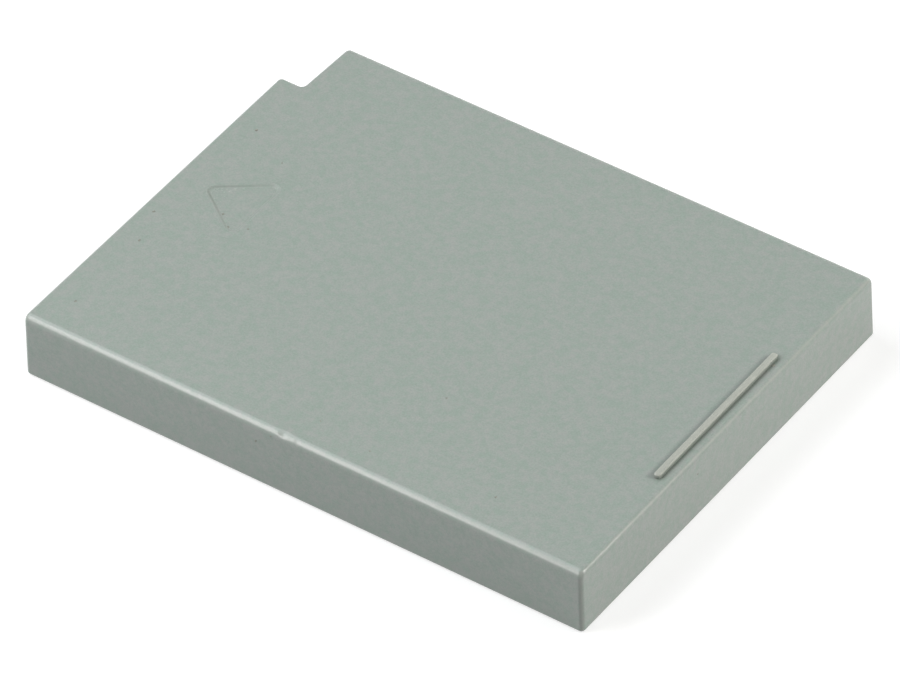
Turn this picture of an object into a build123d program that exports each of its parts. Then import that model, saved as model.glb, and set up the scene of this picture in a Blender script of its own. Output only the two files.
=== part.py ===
"""Flat rechargeable camera battery.

A welded plastic case that leans in towards its top, with a keyed corner, a pull rib, a sunk
insertion arrow, and three gold-plated contacts seated in windows in one end.

Millimetres, +Z up. The origin is the centre of the base, on the surface the pack lies on.
+X runs from the contact end to the pull end, +Y towards the long side with the keyed corner.
"""

import os

from build123d import *

os.makedirs("parts", exist_ok=True)

# Case
case_length = 46.6          # along X, at the base
case_width = 35.5           # along Y, at the base
case_height = 5.4           # from the base to the top face
case_draft = 1.0            # degrees that each side leans in
long_edge_radius = 0.6      # the two long top edges
end_edge_radius = 0.35      # the outline of each end: its top edge and its upright corners
base_edge_radius = 0.3      # round the base

# Keyed corner, a step in the contact end
key_depth = 1.97            # along X, at the foot of the step
key_width = 5.3             # along Y
key_lean = 0.22             # how much deeper the step is at the long side
key_outer_radius = 0.45     # the plan corner at the contact end
key_inner_radius = 0.25     # the plan corner at the foot of the step

# Pull rib across the top, near the pull end
rib_length = 14.5           # along Y
rib_width = 0.5             # along X
rib_height = 0.35
rib_inset = 1.18            # from the pull end of the base to the middle of the rib
rib_corner_radius = 0.2     # its plan corners
rib_crest_radius = 0.12     # its top edges

# Insertion arrow sunk in the top, pointing at the contact end
arrow_inset = 2.5           # from the contact end of the base to the point
arrow_length = 4.8          # along X
arrow_width = 6.8           # along Y
arrow_corner_radius = 0.6
arrow_depth = 0.1
arrow_slope = 62.0          # degrees that its walls lean out from upright
arrow_rim_radius = 0.35     # where its walls meet the top
arrow_foot_radius = 0.25    # where its walls meet its floor

# Weld seam in the base, where the two shells of the case join
seam_inset = 1.2            # from the edge of the base
seam_width = 0.25
seam_depth = 0.15

# Contact windows in the contact end
window_width = 3.2          # along Y
window_height = 2.6         # along Z
window_depth = 0.7          # along X, from the foot of the contact end
window_corner_radius = 0.3
window_lip_radius = 0.15
window_pitch = 5.0          # along Y, from one window to the next
window_level = 2.6          # from the base to the middle of each window

# Contacts, one in each window
contact_names = ["positive_contact", "signal_contact", "negative_contact"]
contact_thickness = 0.4     # along X
contact_clearance = 0.05    # round each contact in its window
contact_edge_radius = 0.1   # round its outer face

# Places worked out from the sizes above
contact_end = -case_length / 2
pull_end = case_length / 2
window_floor = contact_end + window_depth
middle_contact = (len(contact_names) - 1) / 2
contact_places = [(number - middle_contact) * window_pitch for number in range(len(contact_names))]


def step_corners(outline):
    """Plan corners of the key's step, from the contact end inwards."""
    step = outline.edges().filter_by(Axis.X).sort_by(Axis.Y)[1]
    return step.vertices().sort_by(Axis.X)


def base_outline():
    """Plan of the base: a rectangle with the keyed corner's step cut out of it."""
    near_side, far_side = -case_width / 2, case_width / 2
    with BuildSketch() as outline:
        with BuildLine():
            Polyline(
                (contact_end, near_side),
                (pull_end, near_side),
                (pull_end, far_side),
                (contact_end + key_depth + key_lean, far_side),
                (contact_end + key_depth, far_side - key_width),
                (contact_end, far_side - key_width),
                close=True,
            )
        make_face()
        fillet(step_corners(outline)[0], radius=key_outer_radius)
        fillet(step_corners(outline)[-1], radius=key_inner_radius)
    return outline.sketch


# Case: the leaning block and its rounded edges
with BuildPart() as case:
    add(base_outline())
    extrude(amount=case_height, taper=case_draft)

    top_edges = case.faces().sort_by(Axis.Z)[-1].edges().group_by(Axis.Y)
    fillet(top_edges[0] + top_edges[-1], radius=long_edge_radius)

    top_edges = case.faces().sort_by(Axis.Z)[-1].edges().group_by(Axis.Y)
    fillet(top_edges[1:-1], radius=end_edge_radius)

    base_edges = case.faces().sort_by(Axis.Z)[0].edges()
    fillet(base_edges, radius=base_edge_radius)

    # Pull rib
    with BuildSketch(Plane.XY.offset(case_height)):
        with Locations((pull_end - rib_inset, 0)):
            RectangleRounded(rib_width, rib_length, rib_corner_radius)
    extrude(amount=rib_height)
    fillet(case.faces().sort_by(Axis.Z)[-1].edges(), radius=rib_crest_radius)

    # Insertion arrow
    with BuildSketch(Plane.XY.offset(case_height)) as arrow:
        with BuildLine():
            Polyline(
                (contact_end + arrow_inset, 0),
                (contact_end + arrow_inset + arrow_length, -arrow_width / 2),
                (contact_end + arrow_inset + arrow_length, arrow_width / 2),
                close=True,
            )
        make_face()
        fillet(arrow.vertices(), radius=arrow_corner_radius)
    extrude(amount=-arrow_depth, taper=arrow_slope, mode=Mode.SUBTRACT)
    arrow_floor, top_face = case.faces().filter_by(Axis.Z).sort_by(Axis.Z)[-3:-1]
    arrow_rim = top_face.inner_wires().sort_by(Axis.X)[0]
    fillet(arrow_rim.edges(), radius=arrow_rim_radius)
    fillet(arrow_floor.edges(), radius=arrow_foot_radius)

    # Weld seam
    with BuildSketch():
        offset(base_outline(), amount=-seam_inset)
        offset(base_outline(), amount=-seam_inset - seam_width, mode=Mode.SUBTRACT)
    extrude(amount=seam_depth, mode=Mode.SUBTRACT)

    # Contact windows
    with BuildSketch(Plane.YZ.offset(contact_end)):
        with Locations([(place, window_level) for place in contact_places]):
            RectangleRounded(window_width, window_height, window_corner_radius)
    extrude(amount=window_depth, mode=Mode.SUBTRACT)
    window_lips = [wire.edges() for wire in case.faces().sort_by(Axis.X)[0].inner_wires()]
    fillet(window_lips, radius=window_lip_radius)

case.part.label = "case"
export_step(case.part, "parts/case.step")

# Contacts: plates seated on the floors of their windows
for contact_name, place in zip(contact_names, contact_places):
    with BuildPart() as contact:
        with BuildSketch(Plane.YZ.offset(window_floor - contact_thickness)):
            with Locations((place, window_level)):
                RectangleRounded(
                    window_width - 2 * contact_clearance,
                    window_height - 2 * contact_clearance,
                    window_corner_radius - contact_clearance,
                )
        extrude(amount=contact_thickness)
        outer_edges = contact.faces().sort_by(Axis.X)[0].edges()
        fillet(outer_edges, radius=contact_edge_radius)

    contact.part.label = contact_name
    export_step(contact.part, f"parts/{contact_name}.step")
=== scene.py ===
"""Looks of the camera battery: the worn case, its gold contacts, and the photo's floor, light and camera.

Metres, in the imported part's frame. +X runs to the pull end, +Y to the keyed side and +Z up, and the base
is at z = 0.
"""

import math
import random

import bmesh
import bpy
from mathutils import Matrix, Vector
from mathutils.bvhtree import BVHTree


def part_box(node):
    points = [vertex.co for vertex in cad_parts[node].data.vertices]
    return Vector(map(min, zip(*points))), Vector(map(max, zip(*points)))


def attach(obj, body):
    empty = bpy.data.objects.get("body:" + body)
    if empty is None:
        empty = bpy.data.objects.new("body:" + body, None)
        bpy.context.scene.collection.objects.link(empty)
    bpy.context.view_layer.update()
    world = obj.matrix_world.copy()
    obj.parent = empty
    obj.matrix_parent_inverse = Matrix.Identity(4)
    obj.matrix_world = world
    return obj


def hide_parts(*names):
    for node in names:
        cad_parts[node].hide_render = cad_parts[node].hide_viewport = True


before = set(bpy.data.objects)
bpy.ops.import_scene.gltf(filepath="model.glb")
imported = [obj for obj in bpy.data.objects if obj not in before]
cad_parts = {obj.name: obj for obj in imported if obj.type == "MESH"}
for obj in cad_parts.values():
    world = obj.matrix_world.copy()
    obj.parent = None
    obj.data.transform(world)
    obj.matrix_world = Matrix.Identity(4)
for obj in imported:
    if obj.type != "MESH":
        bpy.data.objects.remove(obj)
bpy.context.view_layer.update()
mm = 0.001

# Case, and its rib across the top
cad_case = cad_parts["case"].data
case_low, case_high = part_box("case")
rib_height = 0.35 * mm
top_level = case_high.z - rib_height
rib_level = top_level + rib_height / 2
rib_places = [vert.co.x for vert in cad_case.vertices if vert.co.z > rib_level]
rib_middle = (min(rib_places) + max(rib_places)) / 2

# Box round the arrow, all but its rim: past its point and its base along X, and down from the top
arrow_point = -21.0 * mm
arrow_base = -15.5 * mm
arrow_half_width = 3.6 * mm
arrow_reach = 0.4 * mm
arrow_rim = 0.003 * mm
arrow_low = Vector((arrow_point, -arrow_half_width, top_level - arrow_reach))
arrow_high = Vector((arrow_base, arrow_half_width, top_level - arrow_rim))

# Points of the CAD faces that are nearer to each other than this are joined
join_distance = 1e-7

# Faces that bend from each other by more than this are shaded with an edge between them
sharp_bend = math.radians(40)

# Near long edge: how far its rounding reaches down and in, and how far under the top the cuts in it stay
edge_drop = 0.62 * mm
edge_inset = 0.65 * mm
edge_strip = 0.002 * mm

# Bruises in that edge: middle along X, half length, degrees round the edge, half spread, depth
edge_bruises = [
    (-1.22 * mm, 0.72 * mm, 30, 42, 0.050 * mm),
    (-0.28 * mm, 0.12 * mm, 50, 40, 0.014 * mm),
]
bruise_step = 0.05 * mm

# Nick in the rib's upper edge on the pull end's side: middle along Y, half length, depth
nick_middle = 6.30 * mm
nick_half = 0.14 * mm
nick_depth = 0.04 * mm
nick_step = nick_half / 4

# How far the rib and the rounded edges are rubbed lighter, partly a painted highlight, the edges most where
# they slope by 45 degrees
rib_wear_and_highlight = 1.0
edge_wear_and_highlight = 0.45
slope_flatness = math.sqrt(0.5)

# How far painted shade reaches out of corners, and how dark the painted shade on the arrow's walls is at
# its point and at its base, where they are as steep as the tilt
corner_shade_reach = 0.5 * mm
point_shade = 0.32
base_shade = 0.09
arrow_tilt = math.radians(28)

# Dirt specks in mm: middle and radius, on the top, on the near side and on the pull end
top_specks = [
    ((-22.10, -4.10), 0.13),
    ((-21.18, 6.74), 0.14),
    ((-21.14, -7.04), 0.12),
    ((-21.07, -14.49), 0.11),
    ((14.19, -14.63), 0.10),
    ((5.84, -8.48), 0.09),
    ((4.54, -15.61), 0.08),
    ((0.05, -15.03), 0.08),
    ((-17.98, -1.60), 0.11),
    ((-16.89, -2.50), 0.13),
    ((-15.54, -1.99), 0.11),
    ((-17.63, 4.89), 0.08),
    ((22.48, 6.37), 0.16),
]
near_specks = [((-3.53, 3.78), 0.11), ((-2.25, 4.85), 0.09)]
pull_specks = [((-3.91, 3.78), 0.10), ((3.70, 2.44), 0.07)]

# Specks are dropped on the case from this far out, in mm
drop_from = 50

# Flake of a speck: thickness and breadth as parts of its length, and how far its points lie in or out
flake_thickness = 0.15
flake_breadth = (0.6, 0.9)
flake_raggedness = (0.75, 1.15)

# Colours, and how strongly the plastic bends light
plastic_green = (0.303, 0.374, 0.327, 1)
plastic_grey = (0.353, 0.386, 0.360, 1)
# Rubbed lighter on the rib and the edges, partly a painted highlight
plastic_rubbed_highlight = (0.455, 0.475, 0.42, 1)
# Painted shade, in corners and on the arrow's walls
painted_shade_dark = (0.10, 0.105, 0.085, 1)
grit_dark = (0.245, 0.255, 0.22, 1)
grit_light = (0.325, 0.335, 0.29, 1)
gold_dull = (0.70, 0.49, 0.19, 1)
gold_bright = (0.90, 0.68, 0.30, 1)
plastic_ior = 1.585

# Floor: reach, level, the colour that lights the battery, and the colour and the glow that are seen
floor_reach = 2.0
floor_level = -0.02 * mm
floor_dim = (0.4, 0.4, 0.4, 1)
floor_pale = (0.62, 0.62, 0.62, 1)
floor_glow = 0.6

# Camera, as the photograph was taken
camera_target = Vector((1.50, -2.06, 2.70)) * mm
camera_distance = 612.3 * mm
camera_azimuth = 36.73
camera_elevation = 42.51
camera_roll = 2.29
camera_lens = 357.6
camera_sensor = 36.0


def direction(azimuth, elevation):
    """Unit vector from the battery to a place round it. Azimuth 0 is in front, at -Y, and 90 is at +X."""
    around, up = math.radians(azimuth), math.radians(elevation)
    return Vector((math.sin(around) * math.cos(up), -math.cos(around) * math.cos(up), math.sin(up)))


def add_object(name, data):
    """A new object in the scene."""
    made = bpy.data.objects.new(name, data)
    bpy.context.scene.collection.objects.link(made)
    return made


def add_node(tree, kind, inputs=None, **settings):
    """A new shader node. Inputs are set to values, or linked where the value is another node's socket."""
    made = tree.nodes.new(kind)
    for name, value in settings.items():
        setattr(made, name, value)
    for name, value in (inputs or {}).items():
        if isinstance(value, bpy.types.NodeSocket):
            tree.links.new(value, made.inputs[name])
        else:
            made.inputs[name].default_value = value
    return made


def add_ramp(tree, value, low, low_colour, high, high_colour):
    """Socket that goes from one colour to the other as a value goes from low to high."""
    ramp = add_node(tree, "ShaderNodeValToRGB", {"Fac": value})
    first, last = ramp.color_ramp.elements
    first.position = low
    first.color = low_colour
    last.position = high
    last.color = high_colour
    return ramp.outputs["Color"]


def add_material(name):
    """A new material, with its node tree and its shader."""
    material = bpy.data.materials.new(name)
    material.use_nodes = True
    return material, material.node_tree, material.node_tree.nodes["Principled BSDF"]


# Camera

def add_camera():
    """The photograph's camera."""
    camera = add_object("camera", bpy.data.cameras.new("camera"))
    camera.data.lens = camera_lens
    camera.data.sensor_width = camera_sensor
    camera.data.clip_end = 10
    towards = direction(camera_azimuth, camera_elevation)
    roll = Matrix.Rotation(math.radians(-camera_roll), 3, "Z")
    turn = (-towards).to_track_quat("-Z", "Y").to_matrix() @ roll
    camera.matrix_world = Matrix.Translation(camera_target + towards * camera_distance) @ turn.to_4x4()
    bpy.context.scene.camera = camera


# Floor and light

def seen_directly(tree):
    """Socket that is 1 for the rays that show the background: straight, mirrored and through glass."""
    path = add_node(tree, "ShaderNodeLightPath")
    mirrored = add_node(
        tree,
        "ShaderNodeMath",
        {0: path.outputs["Is Glossy Ray"], 1: path.outputs["Is Transmission Ray"]},
        operation="MAXIMUM",
    )
    seen = add_node(
        tree,
        "ShaderNodeMath",
        {0: path.outputs["Is Camera Ray"], 1: mirrored.outputs[0]},
        operation="MAXIMUM",
    )
    return seen.outputs[0]


def add_floor():
    """A plain white floor that keeps the battery's shadow. It throws less light back than it shows."""
    mesh = bpy.data.meshes.new("floor")
    sides = [(-1, -1), (1, -1), (1, 1), (-1, 1)]
    corners = [(x * floor_reach, y * floor_reach, floor_level) for x, y in sides]
    mesh.from_pydata(corners, [], [(0, 1, 2, 3)])
    material, tree, shader = add_material("floor")
    seen = seen_directly(tree)
    colour = add_node(
        tree,
        "ShaderNodeMix",
        {"Factor": seen, 6: floor_dim, 7: floor_pale},
        data_type="RGBA",
    )
    glow = add_node(tree, "ShaderNodeMapRange", {"Value": seen, "To Max": floor_glow})
    tree.links.new(colour.outputs[2], shader.inputs["Base Color"])
    tree.links.new(glow.outputs["Result"], shader.inputs["Emission Strength"])
    shader.inputs["Emission Color"].default_value = (1, 1, 1, 1)
    shader.inputs["Roughness"].default_value = 0.9
    shader.inputs["Specular IOR Level"].default_value = 0.0
    mesh.materials.append(material)
    add_object("floor", mesh)


def add_world(ambient):
    """A white background, and a weaker even light from all round."""
    world = bpy.data.worlds.new("world")
    bpy.context.scene.world = world
    world.use_nodes = True
    tree = world.node_tree
    strength = add_node(tree, "ShaderNodeMapRange", {"Value": seen_directly(tree), "To Min": ambient})
    background = tree.nodes["Background"]
    background.inputs["Color"].default_value = (1, 1, 1, 1)
    tree.links.new(strength.outputs["Result"], background.inputs["Strength"])


def add_softbox(name, azimuth, elevation, distance, width, height, brightness, colour, roll=0):
    """A soft lamp that faces the battery. Its brightness is that of its own surface, where 1 is white."""
    lamp = add_object(name, bpy.data.lights.new(name, "AREA"))
    lamp.data.shape = "RECTANGLE"
    lamp.data.size = width
    lamp.data.size_y = height
    lamp.data.energy = brightness * math.pi * width * height
    lamp.data.color = colour
    towards = direction(azimuth, elevation)
    turn = towards.to_track_quat("Z", "Y").to_matrix() @ Matrix.Rotation(math.radians(roll), 3, "Z")
    lamp.matrix_world = Matrix.Translation(towards * distance) @ turn.to_4x4()


# Case

def faces_near(form, low, high):
    """The faces whose boxes reach into the box from low to high."""
    found = []
    for face in form.faces:
        corners = [vert.co for vert in face.verts]
        if all(
            min(corner[axis] for corner in corners) < high[axis]
            and max(corner[axis] for corner in corners) > low[axis]
            for axis in range(3)
        ):
            found.append(face)
    return found


def cut_across(form, axis, low, high, step):
    """Cuts the faces in a box across an axis at each step, so that they can be bent there."""
    along = Vector(float(number == axis) for number in range(3))
    for number in range(round((high[axis] - low[axis]) / step) + 1):
        faces = faces_near(form, low, high)
        around = {item for face in faces for item in (face, *face.edges, *face.verts)}
        place = low + along * number * step
        bmesh.ops.bisect_plane(form, geom=list(around), plane_co=place, plane_no=along)


def bulge(offset, half):
    """1 in the middle of a stretch, and 0 from its half length on."""
    return math.cos(math.pi / 2 * min(1, abs(offset / half))) ** 2


def press_bruises(form):
    """Presses the bruises into the near long edge."""
    for middle, half_length, around, half_spread, depth in edge_bruises:
        low = Vector((middle - half_length, case_low.y, top_level - edge_drop))
        high = Vector((middle + half_length, case_low.y + edge_inset, top_level - edge_strip))
        cut_across(form, 0, low, high, bruise_step)
        form.normal_update()
        for vert in form.verts:
            if vert.co.y < high.y and low.x < vert.co.x < high.x and vert.co.z > low.z:
                tilt = math.degrees(vert.normal.angle(Vector((0, 0, 1))))
                push = depth * bulge(vert.co.x - middle, half_length) * bulge(tilt - around, half_spread)
                vert.co -= vert.normal * push


def press_nick(form):
    """Presses the nick into the rib."""
    clear = 1 * mm
    low = Vector((rib_middle, nick_middle - nick_half, top_level + rib_height / 4))
    high = Vector((rib_middle + clear, nick_middle + nick_half, case_high.z + clear))
    cut_across(form, 1, low, high, nick_step)
    for vert in form.verts:
        if all(start < place < end for start, place, end in zip(low, vert.co, high)):
            vert.co.x -= nick_depth * bulge(vert.co.y - nick_middle, nick_half)


def in_arrow(vert):
    """Whether a point of the case is in the arrow."""
    return all(low < place < high for low, place, high in zip(arrow_low, vert.co, arrow_high))


def arrow_shade_of(vert):
    """How much painted shade lies on a point of the case: some on the arrow's walls, and most at its point.
    """
    if not in_arrow(vert):
        return 0.0
    steepness = min(1, vert.normal.angle(Vector((0, 0, 1))) / arrow_tilt)
    along = (vert.co.x - arrow_low.x) / (arrow_high.x - arrow_low.x)
    return steepness * (point_shade + (base_shade - point_shade) * along)


def wear_and_highlight_of(vert):
    """How much a point of the case is rubbed lighter, partly a painted highlight: not on its flats, and
    most on its edges and its rib.
    """
    if in_arrow(vert):
        return 0.0
    if vert.co.z > rib_level:
        return rib_wear_and_highlight * min(1, (vert.co.z - rib_level) / (rib_height / 3))
    flatness = max(max(abs(part) for part in face.normal) for face in vert.link_faces)
    return edge_wear_and_highlight * min(1.0, (1 - flatness) / (1 - slope_flatness))


def case_material():
    """Satin grey-green moulded plastic: fine grain, faint mottling, rubbed edges lightened partly as a
    painted highlight, painted shade in its corners.
    """
    material, tree, shader = add_material("case_plastic")
    place = add_node(tree, "ShaderNodeTexCoord").outputs["Object"]
    mottle = add_node(
        tree, "ShaderNodeTexNoise", {"Vector": place, "Scale": 1.6 / mm, "Detail": 4.0, "Roughness": 0.65}
    )
    grain = add_node(tree, "ShaderNodeTexNoise", {"Vector": place, "Scale": 8.0 / mm, "Detail": 2.0})
    rub_noise = add_node(tree, "ShaderNodeTexNoise", {"Vector": place, "Scale": 0.9 / mm, "Detail": 3.0})
    # Rubbed lighter on the rib and the edges, partly a painted highlight
    wear_and_highlight = add_node(tree, "ShaderNodeAttribute", attribute_name="wear_and_highlight")
    # Painted shade on the arrow's walls, darker towards its point
    arrow_shade = add_node(tree, "ShaderNodeAttribute", attribute_name="arrow_shade")
    corner = add_node(
        tree, "ShaderNodeAmbientOcclusion", {"Distance": corner_shade_reach}, samples=16, only_local=True
    )

    # Plain colour, mottled and speckled
    tint = add_ramp(tree, mottle.outputs["Fac"], 0.36, plastic_green, 0.64, plastic_grey)
    speckle = add_node(
        tree,
        "ShaderNodeMapRange",
        {"Value": grain.outputs["Fac"], "From Min": 0.3, "From Max": 0.7, "To Min": 0.95, "To Max": 1.05},
    )
    body = add_node(
        tree,
        "ShaderNodeMix",
        {"Factor": 1.0, 6: tint, 7: speckle.outputs["Result"]},
        data_type="RGBA",
        blend_type="MULTIPLY",
    )

    # Rubbed places lightened, partly a painted highlight, and painted shade over them, in corners and on
    # the arrow's walls
    patchy = add_node(
        tree,
        "ShaderNodeMapRange",
        {"Value": rub_noise.outputs["Fac"], "From Min": 0.3, "From Max": 0.6, "To Min": 0.85},
    )
    rub_and_highlight = add_node(
        tree, "ShaderNodeMath", {0: wear_and_highlight.outputs["Fac"], 1: patchy.outputs["Result"]}, operation="MULTIPLY"
    )
    clean = add_node(
        tree,
        "ShaderNodeMix",
        {"Factor": rub_and_highlight.outputs[0], 6: body.outputs[2], 7: plastic_rubbed_highlight},
        data_type="RGBA",
    )
    # Painted shade: darker in corners, from ambient occlusion, and on the arrow's walls
    corner_shade = add_node(
        tree,
        "ShaderNodeMapRange",
        {"Value": corner.outputs["AO"], "From Min": 0.97, "From Max": 0.35, "To Max": 0.64},
    )
    painted_shade = add_node(
        tree, "ShaderNodeMath", {0: corner_shade.outputs["Result"], 1: arrow_shade.outputs["Fac"]}, operation="MAXIMUM"
    )
    colour = add_node(
        tree,
        "ShaderNodeMix",
        {"Factor": painted_shade.outputs[0], 6: clean.outputs[2], 7: painted_shade_dark},
        data_type="RGBA",
    )
    tree.links.new(colour.outputs[2], shader.inputs["Base Color"])

    # Sheen: smoother where it is rubbed, rougher on the arrow's walls
    matt = add_node(
        tree, "ShaderNodeMapRange", {"Value": grain.outputs["Fac"], "To Min": 0.20, "To Max": 0.27}
    )
    smooth = add_node(
        tree, "ShaderNodeMix", {"Factor": rub_and_highlight.outputs[0], 2: matt.outputs["Result"], 3: 0.20}
    )
    dull = add_node(
        tree,
        "ShaderNodeMath",
        {0: arrow_shade.outputs["Fac"], 1: 2.0, 2: smooth.outputs[0]},
        operation="MULTIPLY_ADD",
    )
    tree.links.new(dull.outputs[0], shader.inputs["Roughness"])

    # Moulded grain
    bump = add_node(
        tree,
        "ShaderNodeBump",
        {"Height": grain.outputs["Fac"], "Strength": 0.1, "Distance": 0.02 * mm},
    )
    tree.links.new(bump.outputs["Normal"], shader.inputs["Normal"])
    shader.inputs["IOR"].default_value = plastic_ior
    return material


def corner_normals(form):
    """A shading normal for each corner of each face, from the faces round it that it bends into gently.

    Large faces count most there, so the flats stay flat right up to their rounded edges.
    """
    normals = []
    for face in form.faces:
        for vert in face.verts:
            gentle = [other for other in vert.link_faces if other.normal.angle(face.normal, 0) < sharp_bend]
            total = sum((other.normal * other.calc_area() for other in gentle), Vector())
            normals.append(total.normalized())
    return normals


def add_case():
    """The CAD case with its faces joined, its bruises and nick pressed in and its rounded edges shaded
    smooth.
    """
    mesh = cad_case.copy()
    mesh.name = "worn_case"
    form = bmesh.new()
    form.from_mesh(mesh)
    bmesh.ops.remove_doubles(form, verts=form.verts, dist=join_distance)
    press_bruises(form)
    press_nick(form)
    form.normal_update()
    wear_and_highlight = form.verts.layers.float.new("wear_and_highlight")
    arrow_shade = form.verts.layers.float.new("arrow_shade")
    # Rubbed lighter, partly a painted highlight, and painted shade on the arrow's walls
    for vert in form.verts:
        vert[wear_and_highlight] = wear_and_highlight_of(vert)
        vert[arrow_shade] = arrow_shade_of(vert)
    normals = corner_normals(form)
    form.to_mesh(mesh)
    form.free()
    mesh.attributes.remove(mesh.attributes["custom_normal"])
    mesh.shade_smooth()
    mesh.normals_split_custom_set(normals)
    mesh.materials.clear()
    mesh.materials.append(case_material())
    case = add_object("worn_case", mesh)
    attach(case, "root")
    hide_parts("case")


# Dirt

def dirt_material():
    """Dull grit, darker than the case."""
    material, tree, shader = add_material("dirt")
    place = add_node(tree, "ShaderNodeTexCoord").outputs["Object"]
    noise = add_node(tree, "ShaderNodeTexNoise", {"Vector": place, "Scale": 20 / mm})
    tone = add_ramp(tree, noise.outputs["Fac"], 0, grit_dark, 1, grit_light)
    tree.links.new(tone, shader.inputs["Base Color"])
    shader.inputs["Roughness"].default_value = 0.8
    return material


def add_flake(form, place, radius, outwards):
    """A thin ragged flake that lies on a surface."""
    turn = outwards.to_track_quat("Z", "Y").to_matrix().to_4x4()
    spin = Matrix.Rotation(random.uniform(0, math.tau), 4, "Z")
    flat = Matrix.Diagonal((1, random.uniform(*flake_breadth), flake_thickness, 1))
    matrix = Matrix.Translation(place) @ turn @ spin @ flat
    made = bmesh.ops.create_icosphere(form, subdivisions=2, radius=radius, matrix=matrix)
    for vert in made["verts"]:
        vert.co = place + (vert.co - place) * random.uniform(*flake_raggedness)


def add_dirt():
    """Flakes of grit stuck to the case where the photograph shows dark specks."""
    random.seed(1)
    points = [vert.co for vert in cad_case.vertices]
    surface = BVHTree.FromPolygons(points, [face.vertices for face in cad_case.polygons])
    drops = [(Vector((x, y, drop_from)), Vector((0, 0, -1)), radius) for (x, y), radius in top_specks]
    drops += [(Vector((x, -drop_from, z)), Vector((0, 1, 0)), radius) for (x, z), radius in near_specks]
    drops += [(Vector((drop_from, y, z)), Vector((-1, 0, 0)), radius) for (y, z), radius in pull_specks]
    form = bmesh.new()
    for start, inwards, radius in drops:
        place, outwards = surface.ray_cast(start * mm, inwards)[:2]
        add_flake(form, place, radius * mm, outwards)
    mesh = bpy.data.meshes.new("dirt_specks")
    form.to_mesh(mesh)
    form.free()
    mesh.shade_smooth()
    mesh.materials.append(dirt_material())
    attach(add_object("dirt_specks", mesh), "root")


# Contacts

def gold_material():
    """Gold plating, rubbed along by the bay's pins."""
    material, tree, shader = add_material("contact_gold")
    place = add_node(tree, "ShaderNodeTexCoord").outputs["Object"]
    stretched = add_node(tree, "ShaderNodeMapping", {"Vector": place, "Scale": (1, 1, 0.06)})
    scratches = add_node(
        tree, "ShaderNodeTexNoise", {"Vector": stretched.outputs[0], "Scale": 12 / mm, "Detail": 3.0}
    )
    tarnish = add_node(tree, "ShaderNodeTexNoise", {"Vector": place, "Scale": 0.8 / mm, "Detail": 4.0})
    tone = add_ramp(tree, tarnish.outputs["Fac"], 0.3, gold_dull, 0.6, gold_bright)
    tree.links.new(tone, shader.inputs["Base Color"])
    gloss = add_node(
        tree, "ShaderNodeMapRange", {"Value": scratches.outputs["Fac"], "To Min": 0.18, "To Max": 0.42}
    )
    tree.links.new(gloss.outputs["Result"], shader.inputs["Roughness"])
    bump = add_node(
        tree,
        "ShaderNodeBump",
        {"Height": scratches.outputs["Fac"], "Strength": 0.15, "Distance": 0.01 * mm},
    )
    tree.links.new(bump.outputs["Normal"], shader.inputs["Normal"])
    shader.inputs["Metallic"].default_value = 1.0
    return material


def dress_contacts():
    """Gold plating on the CAD contacts."""
    gold = gold_material()
    for name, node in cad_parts.items():
        if name.endswith("_contact"):
            node.data.materials.clear()
            node.data.materials.append(gold)


add_camera()
add_floor()
add_world(ambient=0.10)

# Lamps: azimuth and elevation in degrees, distance, width and height in metres, brightness and colour
add_softbox("key", -35.6, 39.3, 0.28, 0.07, 0.21, 6.0, (1.0, 0.985, 0.985), roll=31.8)
add_softbox("fill", -50, 25, 0.50, 0.70, 0.40, 0.56, (1.0, 0.985, 0.985))
add_softbox("left", -80, 52, 0.40, 0.30, 0.30, 2.5, (0.93, 0.98, 1.0))
add_softbox("right", 116, 30, 0.40, 0.10, 0.10, 23.5, (1.0, 0.975, 0.945))
add_softbox("pull_side", 104, 6, 0.16, 0.05, 0.03, 7.5, (1.0, 0.98, 0.95))
add_softbox("back", 160, 20, 0.50, 0.30, 0.15, 2.6, (1.0, 0.97, 0.94))

add_case()
add_dirt()
dress_contacts()

bpy.context.scene.view_settings.view_transform = "Standard"
